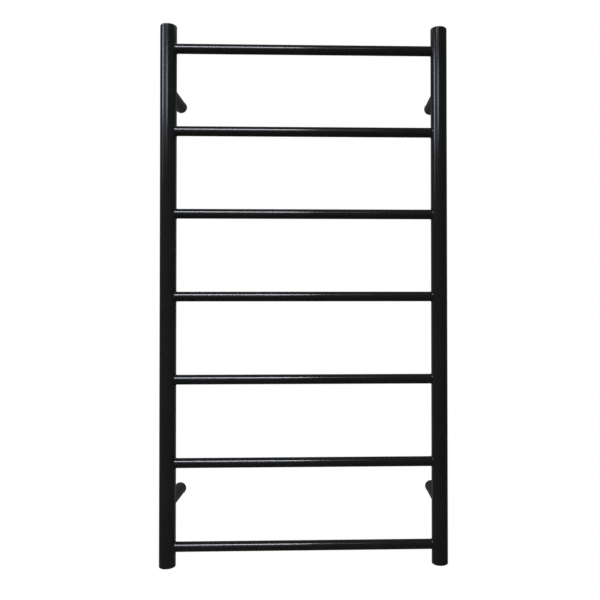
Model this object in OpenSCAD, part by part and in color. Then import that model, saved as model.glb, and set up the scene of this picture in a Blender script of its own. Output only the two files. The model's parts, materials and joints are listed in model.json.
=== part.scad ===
// Dry-electric ladder towel warmer: a welded round-tube rack on four hollow wall legs.
// The wall is the plane y = 0, the front faces -Y, and z = 0 is half way between the wall screws.

/* [Uprights] */
// Distance between the axes of the two uprights
upright_spacing = 500; // [400:10:700]
// Outer diameter of the uprights
upright_d = 30; // [30:1:36]
// Wall thickness of the uprights
upright_wall = 1.2; // [1:0.1:1.5]
// From the top crossbar's axis up to the end of the upright
top_margin = 42; // [38:0.5:70]
// From the bottom crossbar's axis down to the end of the upright
bottom_margin = 35.5; // [32:0.5:70]

/* [Crossbars] */
// Outer diameter of the crossbars
bar_d = 18; // [16:1:20]
// Wall thickness of the crossbars
bar_wall = 1; // [0.8:0.1:1.5]
// Distance between the axes of neighbouring crossbars
bar_pitch = 152.4; // [146:0.1:158]
// Size of the weld beads
weld = 1.8; // [0.8:0.1:2.2]

/* [Wall legs] */
// Height between the axes of the upper and lower legs, and so between the wall screws
leg_spacing = 760; // [740:5:780]
// Wall to the axes of the uprights
wall_gap = 105; // [95:1:140]
// Outer diameter of the legs
leg_d = 22; // [22:1:24]
// Wall thickness of the legs
leg_wall = 1.5; // [1.2:0.1:1.5]
// Diameter of the disc that stands against the wall
boss_disc_d = 23; // [22:0.5:28]
// Thickness of that disc
boss_disc_t = 2; // [1.5:0.5:4]
// Length of the spigot inside the leg
spigot_len = 16; // [14:1:20]
// Hole for the wall screw
screw_hole_d = 5; // [4:0.1:5]
// Bore of the cord grommet
cord_bore_d = 6.8; // [6:0.1:6.8]

/* [End caps] */
// Thickness of a cap's end plate
cap_t = 2.5; // [2:0.1:4]
// Rounding of its rim
cap_rim = 1.5; // [0.5:0.1:2]
// Length of its skirt inside the upright
cap_skirt = 8; // [5:1:9]

/* [Heating cable] */
// Outer diameter of the heating cable
cable_d = 5; // [4:0.5:6]
// Bend radius of the cable's centre line inside the uprights
cable_bend = 10; // [9:0.5:10]

/* [Hidden] */
$fn = 72;

black = "#1c1c1f";
zinc = "#a9abad";
cast_black = "#26262a";
brass = "#c2a04e";
rubber = "#2b2b2b";
left = -1;
right = 1;

bar_count = 7;
upright_x = upright_spacing / 2;
rack_y = -wall_gap;
upright_bore = upright_d - 2 * upright_wall;
top_bar_z = bar_pitch * (bar_count - 1) / 2;
top_z = top_bar_z + top_margin;
bottom_z = -top_bar_z - bottom_margin;

// A crossbar ends just past the upright's inner wall, all round
bar_half = upright_x - sqrt(pow(upright_bore / 2, 2) - pow(bar_d / 2, 2)) + 0.5;
bar_bore = bar_d - 2 * bar_wall;

leg_z = leg_spacing / 2;
leg_bore = leg_d - 2 * leg_wall;
spigot_d = leg_bore - 0.2;

// The wall screws sit towards the middle of the rack, which leaves the cord room beside them
screw_inset = 5;
cord_offset = 4.2;
grommet_d = cord_bore_d + 1.8;
grommet_flange_d = grommet_d + 1.6;
grommet_flange_t = 1.5;

// M4 x 4 grub screws with a 2 mm hexagon socket
grub_d = 4;
grub_len = 4;
grub_y = -10;
grub_sunk = 0.1;
socket_d = 2 / cos(30);
socket_depth = 1.8;

// Terminal block in the wired leg: live pole at the top, wires along Y, screws on its left side
block = [15, 14, 8];
block_y = -45;
block_screw_side = 5;
pole_pitch = 5;
sleeve_d = 3.8;
sleeve_bore_d = 2.4;
clamp_d = 2.5;
clamp_head_d = 3.6;

// Leads of the internal wiring
lead_d = 2.2;
core_d = 1.2;
core_len = 6;
lead_bend = 3;
wire_hole_d = 14;
block_front_y = block_y - block[1] / 2;

// Thermal cutout above the wire hole
cutout = [7.6, 4.5, 20];
cutout_pitch = 2.6;
cutout_y = rack_y + 2;
cutout_z = -leg_z + 18;

// Cold splice below the wire hole
splice_d = 10;
splice_len = 35;
splice_top_z = -leg_z - 18;

// Earth tag on the front inside wall, opposite the wire hole
tag_foot_t = 0.8;
tag_foot_angle = 50;
tag_h = 10;
tab = [0.8, 9, 6.3];
receptacle = [3, 8, 8];
barrel_d = 3;
barrel_len = 4;

// The heating cable lies in the bottom of the crossbars
cable_drop = (bar_bore - cable_d) / 2 - 0.1;
cable_end_z = top_bar_z - cable_drop + 22;
seal_d = 7.2;
seal_overlap = 8;
seal_len = 14;

function bar_z(i) = top_bar_z - i * bar_pitch;
function cable_z(i) = bar_z(i) - cable_drop;
// Side on which the cable enters crossbar i, as it climbs from the bottom one
function entry_side(i) = (bar_count - 1 - i) % 2 == 0 ? right : left;
// Height of pole k of the terminal block: -1 neutral, 0 earth, 1 live
function pole_z(k) = -leg_z + k * pole_pitch;

function unit(v) = v / norm(v);
function run_dir(route, i) = unit(route[i + 1] - route[i]);
function turn(route, i) = acos(run_dir(route, i - 1) * run_dir(route, i));
// Length that the bend at point i takes from the straight runs beside it
function trim(route, i, bend) =
    i == 0 || i == len(route) - 1 ? 0 : bend * tan(turn(route, i) / 2);

cable_route = concat(
    [[upright_x, rack_y, splice_top_z - splice_len]],
    [for (i = [bar_count - 1 : -1 : 0], side = [entry_side(i), -entry_side(i)])
        [side * upright_x, rack_y, cable_z(i)]],
    [[-entry_side(0) * upright_x, rack_y, cable_end_z]]);

// Carries its children to the frame with the given axes and origin
module aim(x, y, z, at) {
    multmatrix([
        [x[0], y[0], z[0], at[0]],
        [x[1], y[1], z[1], at[1]],
        [x[2], y[2], z[2], at[2]],
        [0, 0, 0, 1]])
        children();
}

// Round wire along a route of points, with every corner bent to the same radius
module wire(route, d, bend) {
    last = len(route) - 1;
    for (i = [0 : last - 1]) {
        along = run_dir(route, i);
        across = unit(cross(along, abs(along[2]) < 0.9 ? [0, 0, 1] : [1, 0, 0]));
        start = route[i] + along * trim(route, i, bend);
        run = norm(route[i + 1] - start) - trim(route, i + 1, bend);
        aim(across, cross(along, across), along, start) cylinder(d = d, h = run);
    }
    for (i = [1 : last - 1]) {
        before = run_dir(route, i - 1);
        after = run_dir(route, i);
        inward = unit(after - before * (before * after));
        centre = route[i] - before * trim(route, i, bend) + inward * bend;
        aim(-inward, before, cross(before, inward), centre)
            rotate_extrude(angle = turn(route, i)) translate([bend, 0]) circle(d = d);
    }
}

module tube(d, bore, h) {
    difference() {
        cylinder(d = d, h = h);
        translate([0, 0, -1]) cylinder(d = bore, h = h + 2);
    }
}

// Puts +Z of its children along +Y, from the point given
module towards_wall(at) {
    translate(at) rotate([-90, 0, 0]) children();
}

// Solid core of an upright, for cutting what meets it
module upright_core(side, d) {
    translate([side * upright_x, rack_y, bottom_z]) cylinder(d = d, h = top_z - bottom_z);
}

// Solid core of crossbar i from the upright's axis inwards
module bar_end_core(side, i, d) {
    translate([side * upright_x, rack_y, bar_z(i)])
        rotate([0, -90 * side, 0]) cylinder(d = d, h = upright_d);
}

module upright(side) {
    difference() {
        translate([side * upright_x, rack_y, bottom_z + cap_t])
            tube(upright_d, upright_bore, top_z - bottom_z - 2 * cap_t);
        for (i = [0 : bar_count - 1]) bar_end_core(side, i, bar_d);
        if (side == right)
            towards_wall([upright_x, rack_y, -leg_z]) cylinder(d = wire_hole_d, h = upright_d);
    }
}

module crossbar(i) {
    color(black)
        translate([-bar_half, rack_y, bar_z(i)]) rotate([0, 90, 0]) tube(bar_d, bar_bore, 2 * bar_half);
}

module end_cap_profile() {
    rim_r = upright_d / 2 - cap_rim;
    translate([0, -cap_t]) square([rim_r, cap_t]);
    translate([0, -cap_t]) square([upright_d / 2, cap_t - cap_rim]);
    translate([rim_r, -cap_rim]) intersection() {
        circle(r = cap_rim);
        square(cap_rim);
    }
    translate([upright_bore / 2 - 1.5, -cap_t - cap_skirt]) square([1.5, cap_skirt + 0.5]);
}

module end_cap(side, z, flip) {
    color(black)
        translate([side * upright_x, rack_y, z]) rotate([flip, 0, 0]) rotate_extrude() end_cap_profile();
}

module leg(side, z) {
    color(black) difference() {
        towards_wall([side * upright_x, rack_y, z]) tube(leg_d, leg_bore, wall_gap - boss_disc_t);
        upright_core(side, upright_d);
        translate([side * upright_x, grub_y, z - leg_d]) cylinder(d = grub_d, h = leg_d);
    }
}

module bar_welds(side) {
    color(black) for (i = [0 : bar_count - 1]) difference() {
        intersection() {
            bar_end_core(side, i, bar_d + 2 * weld);
            upright_core(side, upright_d + 2 * weld);
        }
        upright_core(side, upright_d);
        bar_end_core(side, i, bar_d);
    }
}

module leg_weld(side, z) {
    difference() {
        intersection() {
            towards_wall([side * upright_x, rack_y, z]) cylinder(d = leg_d + 2 * weld, h = upright_d);
            upright_core(side, upright_d + 2 * weld);
        }
        upright_core(side, upright_d);
        towards_wall([side * upright_x, rack_y, z]) cylinder(d = leg_d, h = upright_d);
    }
}

module leg_welds() {
    color(black) for (side = [left, right], z = [-leg_z, leg_z]) leg_weld(side, z);
}

module boss(side, z, wired) {
    color(cast_black) difference() {
        union() {
            towards_wall([side * upright_x, -boss_disc_t, z]) cylinder(d = boss_disc_d, h = boss_disc_t);
            towards_wall([side * upright_x, -boss_disc_t - spigot_len, z])
                cylinder(d = spigot_d, h = spigot_len + boss_disc_t / 2);
        }
        towards_wall([side * (upright_x - screw_inset), -leg_d - spigot_len, z])
            cylinder(d = screw_hole_d, h = 2 * leg_d + spigot_len);
        translate([side * upright_x, grub_y, z - leg_d])
            cylinder(d = grub_d + 0.2, h = leg_d / 2 + grub_len + grub_sunk);
        if (wired)
            towards_wall([side * (upright_x + cord_offset), -leg_d - spigot_len, z])
                cylinder(d = grommet_d, h = 2 * leg_d + spigot_len);
    }
}

module grub_screw(side, z) {
    translate([side * upright_x, grub_y, z - leg_d / 2 + grub_sunk]) difference() {
        cylinder(d = grub_d, h = grub_len);
        translate([0, 0, -1]) cylinder(d = socket_d, h = socket_depth + 1, $fn = 6);
    }
}

module grub_screws() {
    color(zinc) for (side = [left, right], z = [-leg_z, leg_z]) grub_screw(side, z);
}

module cord_grommet() {
    inner_y = -boss_disc_t - spigot_len - grommet_flange_t;
    color(rubber) towards_wall([upright_x + cord_offset, inner_y, -leg_z]) difference() {
        union() {
            cylinder(d = grommet_flange_d, h = grommet_flange_t);
            cylinder(d = grommet_d, h = -inner_y);
        }
        translate([0, 0, -1]) cylinder(d = cord_bore_d, h = 2 - inner_y);
    }
}

// Frame of the terminal block: X runs up through the poles, and the screws face +Z
module in_block_frame() {
    translate([upright_x, block_y, -leg_z]) rotate([0, -90, 0]) children();
}

module terminal_block() {
    color("ivory") in_block_frame() difference() {
        translate([-block[0] / 2, -block[1] / 2, block_screw_side - block[2]]) cube(block);
        for (k = [-1 : 1]) translate([k * pole_pitch, 0, 0]) {
            towards_wall([0, -block[1], 0]) cylinder(d = sleeve_d, h = 2 * block[1]);
            cylinder(d = clamp_d + 0.2, h = block[2]);
            translate([0, 0, 2.5]) cylinder(d = clamp_head_d + 0.4, h = block[2]);
        }
    }
}

module terminal_sleeves() {
    color(brass) in_block_frame() for (k = [-1 : 1]) translate([k * pole_pitch, 0, 0]) difference() {
        towards_wall([0, 1 - block[1] / 2, 0]) tube(sleeve_d, sleeve_bore_d, block[1] - 2);
        cylinder(d = clamp_d, h = block[2]);
    }
}

// Cheese-head screws that clamp the wires
module terminal_screws() {
    head_z = 2.3;
    slot_w = 0.5;
    color(zinc) in_block_frame() for (k = [-1 : 1])
        translate([k * pole_pitch, 0, core_d / 2]) difference() {
            union() {
                cylinder(d = clamp_d, h = head_z + 0.5);
                translate([0, 0, head_z]) cylinder(d = clamp_head_d, h = 1.5);
            }
            translate([-clamp_head_d, -slot_w / 2, head_z + 0.9]) cube([2 * clamp_head_d, slot_w, 1]);
        }
}

// Lead from pole k of the terminal block: its bare core reaches under the clamp screw
module block_lead(k, rest) {
    wire(concat([[upright_x, block_front_y, pole_z(k)]], rest), lead_d, lead_bend);
    towards_wall([upright_x, block_front_y - 0.5, pole_z(k)]) cylinder(d = core_d, h = block[1] / 2 + 3);
}

module live_lead() {
    color("saddlebrown") block_lead(1, [
        [upright_x, cutout_y, pole_z(1)],
        [upright_x, cutout_y, cutout_z]]);
}

module cutout_lead() {
    color("white") translate([upright_x - cutout_pitch, cutout_y, splice_top_z])
        cylinder(d = lead_d, h = cutout_z - splice_top_z);
}

module neutral_lead() {
    color("steelblue") block_lead(-1, [
        [upright_x, rack_y, pole_z(-1)],
        [upright_x, rack_y, splice_top_z]]);
}

module earth_lead() {
    color("yellowgreen") block_lead(0, [[upright_x, rack_y, pole_z(0)]]);
}

module thermal_cutout() {
    corner = 1;
    color("dimgray") translate([upright_x - cutout_pitch / 2, cutout_y, cutout_z])
        linear_extrude(cutout[2]) {
            square([cutout[0], cutout[1] - 2 * corner], center = true);
            square([cutout[0] - 2 * corner, cutout[1]], center = true);
            for (sx = [-1, 1], sy = [-1, 1])
                translate([sx * (cutout[0] / 2 - corner), sy * (cutout[1] / 2 - corner)]) circle(corner);
        }
}

// Curved foot on the tube's wall, with a blade for a push-on receptacle
module earth_tag() {
    foot_r = upright_bore / 2;
    color(brass) translate([upright_x, rack_y, -leg_z]) {
        rotate([0, 0, -90 - tag_foot_angle / 2])
            translate([0, 0, -tag_h / 2]) rotate_extrude(angle = tag_foot_angle)
                translate([foot_r - tag_foot_t, 0]) square([tag_foot_t, tag_h]);
        translate([-tab[0] / 2, tag_foot_t / 2 - foot_r, -tab[2] / 2]) cube(tab);
    }
}

module earth_receptacle() {
    color(brass) translate([upright_x, rack_y - barrel_len, -leg_z]) difference() {
        union() {
            translate([-receptacle[0] / 2, -receptacle[1], -receptacle[2] / 2]) cube(receptacle);
            towards_wall([0, -1, 0]) cylinder(d = barrel_d, h = barrel_len + 1);
        }
        translate([-tab[0] / 2, -receptacle[1] - 1, -tab[2] / 2]) cube([tab[0], receptacle[1], tab[2]]);
    }
}

module cold_splice() {
    color(rubber)
        translate([upright_x, rack_y, splice_top_z - splice_len]) cylinder(d = splice_d, h = splice_len);
}

module heating_cable() {
    color("firebrick") wire(cable_route, cable_d, cable_bend);
}

module end_seal() {
    color(rubber) translate([-upright_x, rack_y, cable_end_z - seal_overlap]) difference() {
        cylinder(d = seal_d, h = seal_len);
        translate([0, 0, -1]) cylinder(d = cable_d, h = seal_overlap + 1);
    }
}

color(black) upright(left);  // left_upright
color(black) upright(right);  // right_upright
crossbar(0);  // crossbar_1
crossbar(1);  // crossbar_2
crossbar(2);  // crossbar_3
crossbar(3);  // crossbar_4
crossbar(4);  // crossbar_5
crossbar(5);  // crossbar_6
crossbar(6);  // crossbar_7
end_cap(left, top_z, 0);  // top_left_cap
end_cap(right, top_z, 0);  // top_right_cap
end_cap(left, bottom_z, 180);  // bottom_left_cap
end_cap(right, bottom_z, 180);  // bottom_right_cap
leg(left, leg_z);  // upper_left_leg
leg(right, leg_z);  // upper_right_leg
leg(left, -leg_z);  // lower_left_leg
leg(right, -leg_z);  // wired_leg
bar_welds(left);  // left_bar_welds
bar_welds(right);  // right_bar_welds
leg_welds();
boss(left, leg_z, false);  // upper_left_boss
boss(right, leg_z, false);  // upper_right_boss
boss(left, -leg_z, false);  // lower_left_boss
boss(right, -leg_z, true);  // wired_boss
grub_screws();
cord_grommet();
terminal_block();
terminal_sleeves();
terminal_screws();
live_lead();
neutral_lead();
earth_lead();
cutout_lead();
thermal_cutout();
earth_tag();
earth_receptacle();
cold_splice();
heating_cable();
end_seal();
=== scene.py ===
import json
import math

import bpy
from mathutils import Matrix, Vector


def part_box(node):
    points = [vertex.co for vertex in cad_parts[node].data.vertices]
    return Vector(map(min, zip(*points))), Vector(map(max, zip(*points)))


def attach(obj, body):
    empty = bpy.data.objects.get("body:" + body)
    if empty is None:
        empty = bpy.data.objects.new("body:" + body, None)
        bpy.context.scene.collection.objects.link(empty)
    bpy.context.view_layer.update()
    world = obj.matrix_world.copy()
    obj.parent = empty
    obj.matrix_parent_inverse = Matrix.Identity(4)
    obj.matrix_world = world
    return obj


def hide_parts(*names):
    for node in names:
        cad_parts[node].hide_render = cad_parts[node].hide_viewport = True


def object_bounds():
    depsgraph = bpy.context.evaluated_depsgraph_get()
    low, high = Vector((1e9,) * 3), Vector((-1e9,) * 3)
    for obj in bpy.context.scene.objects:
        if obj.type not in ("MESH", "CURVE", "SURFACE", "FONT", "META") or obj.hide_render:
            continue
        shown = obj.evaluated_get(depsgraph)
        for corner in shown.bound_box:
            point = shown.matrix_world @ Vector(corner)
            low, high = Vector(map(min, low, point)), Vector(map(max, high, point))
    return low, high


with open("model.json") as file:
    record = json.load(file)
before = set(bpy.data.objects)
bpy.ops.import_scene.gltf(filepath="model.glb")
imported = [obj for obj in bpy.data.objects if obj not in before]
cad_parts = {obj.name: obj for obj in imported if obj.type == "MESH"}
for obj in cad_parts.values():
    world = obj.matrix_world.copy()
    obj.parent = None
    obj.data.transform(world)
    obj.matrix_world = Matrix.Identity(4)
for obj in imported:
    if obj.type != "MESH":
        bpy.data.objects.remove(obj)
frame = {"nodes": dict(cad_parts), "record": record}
CAD_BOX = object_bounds()
BODY = "root"
MM = 0.001
MICRON = 0.000001


# ---------------------------------------------------------------- node helpers

# Sockets of a Mix node in colour mode
MIX_FACTOR, MIX_FIRST, MIX_SECOND, MIX_RESULT = 0, 6, 7, 2


def new_material(name):
    """A material with an empty Principled tree; returns it with its nodes, links and shader."""
    material = bpy.data.materials.new(name)
    material.use_nodes = True
    nodes, links = material.node_tree.nodes, material.node_tree.links
    return material, nodes, links, nodes["Principled BSDF"]


def object_coords(nodes):
    return nodes.new("ShaderNodeTexCoord").outputs["Object"]


def noise(nodes, links, coords, scale, detail, roughness=0.5):
    """Noise in cells of about 1/scale metres; returns its 0..1 output."""
    node = nodes.new("ShaderNodeTexNoise")
    node.inputs["Scale"].default_value = scale
    node.inputs["Detail"].default_value = detail
    node.inputs["Roughness"].default_value = roughness
    links.new(coords, node.inputs["Vector"])
    return node.outputs["Fac"]


def remap(nodes, links, value, low, high, from_low=0.3, from_high=0.7):
    """Spreads from_low..from_high, which for a noise is its middle, over low..high."""
    node = nodes.new("ShaderNodeMapRange")
    node.inputs["From Min"].default_value = from_low
    node.inputs["From Max"].default_value = from_high
    node.inputs["To Min"].default_value = low
    node.inputs["To Max"].default_value = high
    links.new(value, node.inputs["Value"])
    return node.outputs["Result"]


def blend_colours(nodes, links, factor, first, second):
    node = nodes.new("ShaderNodeMix")
    node.data_type = "RGBA"
    node.inputs[MIX_FIRST].default_value = (*first, 1)
    node.inputs[MIX_SECOND].default_value = (*second, 1)
    links.new(factor, node.inputs[MIX_FACTOR])
    return node.outputs[MIX_RESULT]


def vary_colour(nodes, links, shader, patches, dark, light):
    """Lets the base colour drift between dark and light with a noise."""
    tone = remap(nodes, links, patches, 0, 1)
    links.new(blend_colours(nodes, links, tone, dark, light), shader.inputs["Base Color"])


def bump(nodes, links, height, depth, below=None):
    """Raises the surface by height times depth metres, on top of another bump if one is given."""
    node = nodes.new("ShaderNodeBump")
    node.inputs["Strength"].default_value = 1.0
    node.inputs["Distance"].default_value = depth
    links.new(height, node.inputs["Height"])
    if below is not None:
        links.new(below, node.inputs["Normal"])
    return node.outputs["Normal"]


# ---------------------------------------------------------------- materials

# Cells per metre of each noise
COAT_PATCHES, COAT_PEEL, COAT_GRAIN = 14, 400, 2600
METAL_PATCHES, METAL_MARKS = 260, 900
POLYMER_PATCHES, POLYMER_GRAIN = 120, 2200

COAT_IOR = 1.5
# Depth of a coat's grain as a share of its peel's
GRAIN_TO_PEEL = 0.12
# Depth of the marks in metal
MARK_DEPTH = 10 * MICRON


def powder_coat(name, dark, light, rough_low, rough_high, peel_depth):
    """Gloss to satin powder coat: orange peel of about 2.5 mm, a finer grain that also varies
    the gloss, and large patches of slightly different tone."""
    material, nodes, links, shader = new_material(name)
    coords = object_coords(nodes)
    patches = noise(nodes, links, coords, COAT_PATCHES, detail=3)
    grain = noise(nodes, links, coords, COAT_GRAIN, detail=2)
    peel = noise(nodes, links, coords, COAT_PEEL, detail=2)
    vary_colour(nodes, links, shader, patches, dark, light)
    links.new(remap(nodes, links, grain, rough_low, rough_high), shader.inputs["Roughness"])
    shader.inputs["IOR"].default_value = COAT_IOR
    soft = bump(nodes, links, peel, peel_depth)
    fine = bump(nodes, links, grain, peel_depth * GRAIN_TO_PEEL, soft)
    links.new(fine, shader.inputs["Normal"])
    return material


def plain_metal(name, dark, light, rough_low, rough_high):
    """Turned or stamped metal: fine marks in the surface and its gloss, and an uneven tone."""
    material, nodes, links, shader = new_material(name)
    coords = object_coords(nodes)
    marks = noise(nodes, links, coords, METAL_MARKS, detail=4, roughness=0.65)
    patches = noise(nodes, links, coords, METAL_PATCHES, detail=2)
    vary_colour(nodes, links, shader, patches, dark, light)
    links.new(remap(nodes, links, marks, rough_low, rough_high), shader.inputs["Roughness"])
    shader.inputs["Metallic"].default_value = 1.0
    links.new(bump(nodes, links, marks, MARK_DEPTH), shader.inputs["Normal"])
    return material


def soft_polymer(name, dark, light, rough_low, rough_high, grain_depth):
    """Moulded or extruded plastic, rubber or silicone with a faint grain."""
    material, nodes, links, shader = new_material(name)
    coords = object_coords(nodes)
    grain = noise(nodes, links, coords, POLYMER_GRAIN, detail=2)
    patches = noise(nodes, links, coords, POLYMER_PATCHES, detail=3)
    vary_colour(nodes, links, shader, patches, dark, light)
    links.new(remap(nodes, links, grain, rough_low, rough_high), shader.inputs["Roughness"])
    links.new(bump(nodes, links, grain, grain_depth), shader.inputs["Normal"])
    return material


# For each slot of the record: the kind and name of its material, its darkest and lightest
# colour, its lowest and highest roughness, and the depth of the peel or grain
SLOTS = {
    "powder_coat": (
        powder_coat, "satin_black_powder_coat",
        (0.0125, 0.0125, 0.0120), (0.0165, 0.0165, 0.0158), 0.11, 0.15, 3 * MICRON),
    "boss_coat": (
        powder_coat, "blackened_casting",
        (0.012, 0.012, 0.012), (0.020, 0.020, 0.020), 0.38, 0.52, 20 * MICRON),
    "screw_steel": (
        plain_metal, "zinc_plated_steel",
        (0.42, 0.43, 0.44), (0.55, 0.56, 0.57), 0.22, 0.36),
    "grommet_rubber": (
        soft_polymer, "grommet_rubber",
        (0.020, 0.020, 0.020), (0.032, 0.032, 0.032), 0.55, 0.7, 30 * MICRON),
    "block_plastic": (
        soft_polymer, "terminal_polyamide",
        (0.72, 0.70, 0.62), (0.80, 0.78, 0.71), 0.4, 0.5, 10 * MICRON),
    "brass": (
        plain_metal, "brass",
        (0.62, 0.42, 0.16), (0.74, 0.55, 0.26), 0.2, 0.32),
    "live_insulation": (
        soft_polymer, "brown_insulation",
        (0.15, 0.06, 0.025), (0.21, 0.09, 0.035), 0.35, 0.45, 10 * MICRON),
    "neutral_insulation": (
        soft_polymer, "blue_insulation",
        (0.04, 0.14, 0.42), (0.06, 0.19, 0.52), 0.35, 0.45, 10 * MICRON),
    "earth_insulation": (
        soft_polymer, "green_insulation",
        (0.30, 0.46, 0.05), (0.40, 0.55, 0.07), 0.35, 0.45, 10 * MICRON),
    "white_insulation": (
        soft_polymer, "white_insulation",
        (0.70, 0.70, 0.67), (0.78, 0.78, 0.75), 0.35, 0.45, 10 * MICRON),
    "cutout_plastic": (
        soft_polymer, "phenolic_case",
        (0.045, 0.045, 0.045), (0.07, 0.07, 0.07), 0.4, 0.5, 10 * MICRON),
    "splice_rubber": (
        soft_polymer, "moulded_silicone",
        (0.035, 0.035, 0.038), (0.05, 0.05, 0.055), 0.5, 0.65, 20 * MICRON),
    "cable_silicone": (
        soft_polymer, "extruded_silicone",
        (0.36, 0.05, 0.035), (0.46, 0.07, 0.045), 0.4, 0.55, 10 * MICRON),
}


def dress_frame(materials):
    """Gives every CAD node the material of its slot."""
    for part in frame["record"]["subparts"]:
        node = frame["nodes"][part["node"]]
        node.data.materials.clear()
        node.data.materials.append(materials[part["material_slot"]])


# ---------------------------------------------------------------- weld fillets

# Radius of a fillet
FILLET = 1.8 * MM
FILLET_ARC_STEPS = 8
FILLET_TURN_STEPS = 240
# Waves round a fillet's ring, and their height as a share of its radius
RIPPLES = 46
RIPPLE_SHARE = 0.05
# How far a fillet's hidden corner reaches into both tubes
ROOT_DEPTH = 0.15 * MM

LEG_SIDES = (("upper_left_leg", "left"), ("upper_right_leg", "right"),
             ("lower_left_leg", "left"), ("wired_leg", "right"))


def fillet_section(angle, tube_r, upright_r):
    """Closed outline of the fillet at one angle round the thin tube, as (u, v, w) from the point
    where the two axes meet: u along the thin tube away from the upright, w along the upright.
    Its arc is that of a ball that touches both tubes, and its last point lies inside them."""
    size = FILLET * (1 + RIPPLE_SHARE * math.sin(RIPPLES * angle))
    cos_a, sin_a = math.cos(angle), math.sin(angle)
    ball_v, ball_w = (tube_r + size) * cos_a, (tube_r + size) * sin_a
    ball = Vector((math.sqrt((upright_r + size) ** 2 - ball_v ** 2), ball_v, ball_w))
    to_tube = Vector((0, -cos_a, -sin_a))
    to_upright = Vector((-ball.x, -ball.y, 0)).normalized()
    arc = [ball + size * to_tube.slerp(to_upright, k / FILLET_ARC_STEPS)
           for k in range(FILLET_ARC_STEPS + 1)]
    root_r = tube_r - ROOT_DEPTH
    root_v = root_r * cos_a
    root_u = math.sqrt((upright_r - ROOT_DEPTH) ** 2 - root_v ** 2)
    return arc + [Vector((root_u, root_v, root_r * sin_a))]


def fillet_mesh(joints):
    """Vertices and faces of closed fillet rings, one for each of find_joint's tuples."""
    points, faces = [], []
    outline = FILLET_ARC_STEPS + 2
    for origin, along, across, tube_r, upright_r in joints:
        first = len(points)
        for step in range(FILLET_TURN_STEPS):
            angle = 2 * math.pi * step / FILLET_TURN_STEPS
            for p in fillet_section(angle, tube_r, upright_r):
                points.append(origin + along * p.x + across * p.y + Vector((0, 0, p.z)))
        for step in range(FILLET_TURN_STEPS):
            here = first + step * outline
            there = first + (step + 1) % FILLET_TURN_STEPS * outline
            for k in range(outline):
                nxt = (k + 1) % outline
                faces.append((here + k, there + k, there + nxt, here + nxt))
    return points, faces


def add_fillets(name, node, joints, material):
    """One piece of fillet rings that stands for a CAD node of welds."""
    points, faces = fillet_mesh(joints)
    mesh = bpy.data.meshes.new(name)
    mesh.from_pydata(points, [], faces)
    mesh.update()
    piece = bpy.data.objects.new(name, mesh)
    bpy.context.scene.collection.objects.link(piece)
    bpy.context.view_layer.objects.active = piece
    piece.select_set(True)
    bpy.ops.object.mode_set(mode="EDIT")
    bpy.ops.mesh.select_all(action="SELECT")
    bpy.ops.mesh.normals_make_consistent(inside=False)
    bpy.ops.object.mode_set(mode="OBJECT")
    piece.select_set(False)
    mesh.shade_smooth()
    mesh.materials.append(material)
    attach(piece, BODY)
    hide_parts(node)


def find_joint(tube, side, along, across):
    """The joint of a thin tube and an upright: the point where their axes meet, the directions
    u and v of fillet_section, and the radii of both tubes."""
    low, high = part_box(tube)
    upright_low, upright_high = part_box(f"{side}_upright")
    axis = (upright_low + upright_high) / 2
    origin = Vector((axis.x, axis.y, (low.z + high.z) / 2))
    tube_r = (high.z - low.z) / 2
    upright_r = (upright_high.x - upright_low.x) / 2
    return origin, Vector(along), Vector(across), tube_r, upright_r


def make_welds(material):
    """Fillets where the bars meet each upright, and where the legs meet both."""
    bars = sorted(n for n in frame["nodes"] if n.startswith("crossbar_"))
    for side, inward in (("left", 1), ("right", -1)):
        joints = [find_joint(bar, side, (inward, 0, 0), (0, 1, 0)) for bar in bars]
        add_fillets(f"{side}_bar_fillets", f"{side}_bar_welds", joints, material)
    joints = [find_joint(leg, side, (0, 1, 0), (1, 0, 0)) for leg, side in LEG_SIDES]
    add_fillets("leg_fillets", "leg_welds", joints, material)


# ---------------------------------------------------------------- camera

CAMERA_AT = (0.0424, -1.3071, -0.0102)
CAMERA_DEGREES = (90.711, 0.051, -1.644)
CAMERA_SHIFT = (-0.0767, -0.0101)
LENS_MM = 39
SENSOR_MM = 36


def make_camera():
    """Level with the rack's middle, a little right of it, about 1.2 m in front."""
    data = bpy.data.cameras.new("camera")
    data.sensor_width = SENSOR_MM
    data.lens = LENS_MM
    data.shift_x, data.shift_y = CAMERA_SHIFT
    camera = bpy.data.objects.new("camera", data)
    camera.location = CAMERA_AT
    camera.rotation_euler = [math.radians(d) for d in CAMERA_DEGREES]
    bpy.context.scene.collection.objects.link(camera)
    bpy.context.scene.camera = camera


# ---------------------------------------------------------------- light

COOL = (0.88, 0.93, 1.0)
BLUE = (0.72, 0.80, 1.0)

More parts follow.
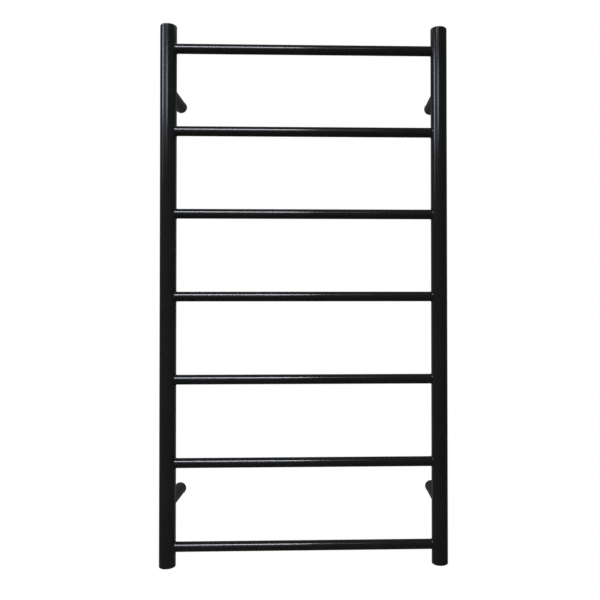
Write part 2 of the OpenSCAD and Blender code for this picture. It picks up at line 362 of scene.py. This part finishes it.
# Name, place, aim, width and height in metres, power in watts, colour, spread in degrees.
# The key and its spill draw the bars' highlights, the next four those of the uprights, and the
# rear ones are for the views from behind. The key is gridded, so it dims away from its aim.
SOFTBOXES = (
    ("key", (-0.53, -1.527, 1.40), (-0.38, -0.1, -0.4), 0.95, 0.35, 6.9, COOL, 90),
    ("key_spill", (0.1, -1.527, 1.40), (0.03, -0.1, 0.0), 0.31, 0.35, 0.6, COOL, 180),
    ("side_softbox", (-2.84, -1.08, 1.39), (0, -0.1, 0.9), 0.95, 0.56, 10.8, BLUE, 180),
    ("side_spill", (-2.84, -1.08, 0.92), (0, -0.1, 0.6), 0.95, 0.40, 1.05, BLUE, 180),
    ("corner_fill", (-2.0, -2.33, 1.35), (0, -0.1, 0.9), 2.2, 0.7, 3.3, BLUE, 180),
    ("front_softbox", (-0.7, -3.1, 1.36), (-0.4, -0.1, 0.9), 1.05, 0.42, 6.4, BLUE, 180),
    ("rear_left_key", (-1.9, 1.0, 1.9), (0, -0.1, 0), 1.2, 0.7, 8, COOL, 180),
    ("rear_right_key", (1.9, 1.0, 1.9), (0, -0.1, 0), 1.2, 0.7, 8, COOL, 180),
    ("rear_left_strip", (-1.5, 1.75, -0.2), (0, -0.1, -0.2), 0.4, 2.6, 2.5, COOL, 180),
    ("rear_right_strip", (1.5, 1.75, -0.2), (0, -0.1, -0.2), 0.4, 2.6, 2.5, COOL, 180),
)


def add_softbox(name, at, look_at, width, height, power, colour, spread):
    data = bpy.data.lights.new(name, "AREA")
    data.shape = "RECTANGLE"
    data.size = width
    data.size_y = height
    data.energy = power
    data.color = colour
    data.spread = math.radians(spread)
    lamp = bpy.data.objects.new(name, data)
    lamp.location = at
    lamp.rotation_euler = (Vector(look_at) - Vector(at)).to_track_quat("-Z", "Y").to_euler()
    bpy.context.scene.collection.objects.link(lamp)


# The room's colour goes from dim to bright as the dot product of a ray's direction with
# BRIGHTER_TOWARDS goes from -ROOM_REACH to ROOM_REACH
ROOM_DIM = (0.030, 0.030, 0.027)
ROOM_BRIGHT = (0.130, 0.130, 0.117)
BRIGHTER_TOWARDS = (0, 0.3, 0.6)
ROOM_REACH = 0.8


def make_world():
    """White behind the object, but for light and reflections a dim warm room, brighter above
    and behind the rack than below."""
    world = bpy.data.worlds.new("studio")
    world.use_nodes = True
    nodes, links = world.node_tree.nodes, world.node_tree.links
    backdrop = nodes["Background"]
    backdrop.inputs["Color"].default_value = (1, 1, 1, 1)
    room = nodes.new("ShaderNodeBackground")
    lean = nodes.new("ShaderNodeVectorMath")
    lean.operation = "DOT_PRODUCT"
    lean.inputs[1].default_value = BRIGHTER_TOWARDS
    links.new(nodes.new("ShaderNodeTexCoord").outputs["Generated"], lean.inputs[0])
    share = remap(nodes, links, lean.outputs["Value"], 0, 1, -ROOM_REACH, ROOM_REACH)
    room_colour = blend_colours(nodes, links, share, ROOM_DIM, ROOM_BRIGHT)
    links.new(room_colour, room.inputs["Color"])
    path = nodes.new("ShaderNodeLightPath")
    mix = nodes.new("ShaderNodeMixShader")
    links.new(path.outputs["Is Camera Ray"], mix.inputs[0])
    links.new(room.outputs[0], mix.inputs[1])
    links.new(backdrop.outputs[0], mix.inputs[2])
    links.new(mix.outputs[0], nodes["World Output"].inputs["Surface"])
    bpy.context.scene.world = world


# ---------------------------------------------------------------- floor

FLOOR_RADIUS = 0.75
FLOOR_DROP = 0.45
FLOOR_STEPS = 96
FLOOR_PATCHES = 8
FLOOR_DARK, FLOOR_LIGHT = (0.78, 0.78, 0.77), (0.82, 0.82, 0.81)
FLOOR_ROUGHNESS = 0.6
FLOOR_GLOW = 0.6


def make_floor():
    """A round pale floor, well below the rack, that doesn't show in its reflections."""
    low, high = CAD_BOX
    points = [(0, 0, 0)]
    for k in range(FLOOR_STEPS):
        angle = 2 * math.pi * k / FLOOR_STEPS
        points.append((FLOOR_RADIUS * math.cos(angle), FLOOR_RADIUS * math.sin(angle), 0))
    faces = [(0, 1 + k, 1 + (k + 1) % FLOOR_STEPS) for k in range(FLOOR_STEPS)]
    mesh = bpy.data.meshes.new("floor")
    mesh.from_pydata(points, [], faces)
    floor = bpy.data.objects.new("floor", mesh)
    floor.location = (0, (low[1] + high[1]) / 2, low[2] - FLOOR_DROP)
    bpy.context.scene.collection.objects.link(floor)
    material, nodes, links, shader = new_material("pale_floor")
    patches = noise(nodes, links, object_coords(nodes), FLOOR_PATCHES, detail=4)
    vary_colour(nodes, links, shader, patches, FLOOR_DARK, FLOOR_LIGHT)
    shader.inputs["Roughness"].default_value = FLOOR_ROUGHNESS
    shader.inputs["Emission Color"].default_value = (1, 1, 1, 1)
    shader.inputs["Emission Strength"].default_value = FLOOR_GLOW
    mesh.materials.append(material)
    floor.visible_glossy = False


make_camera()
materials = {slot: make(*looks) for slot, (make, *looks) in SLOTS.items()}
dress_frame(materials)
make_welds(materials["powder_coat"])
make_world()
for softbox in SOFTBOXES:
    add_softbox(*softbox)
make_floor()
bpy.context.scene.view_settings.view_transform = "Standard"
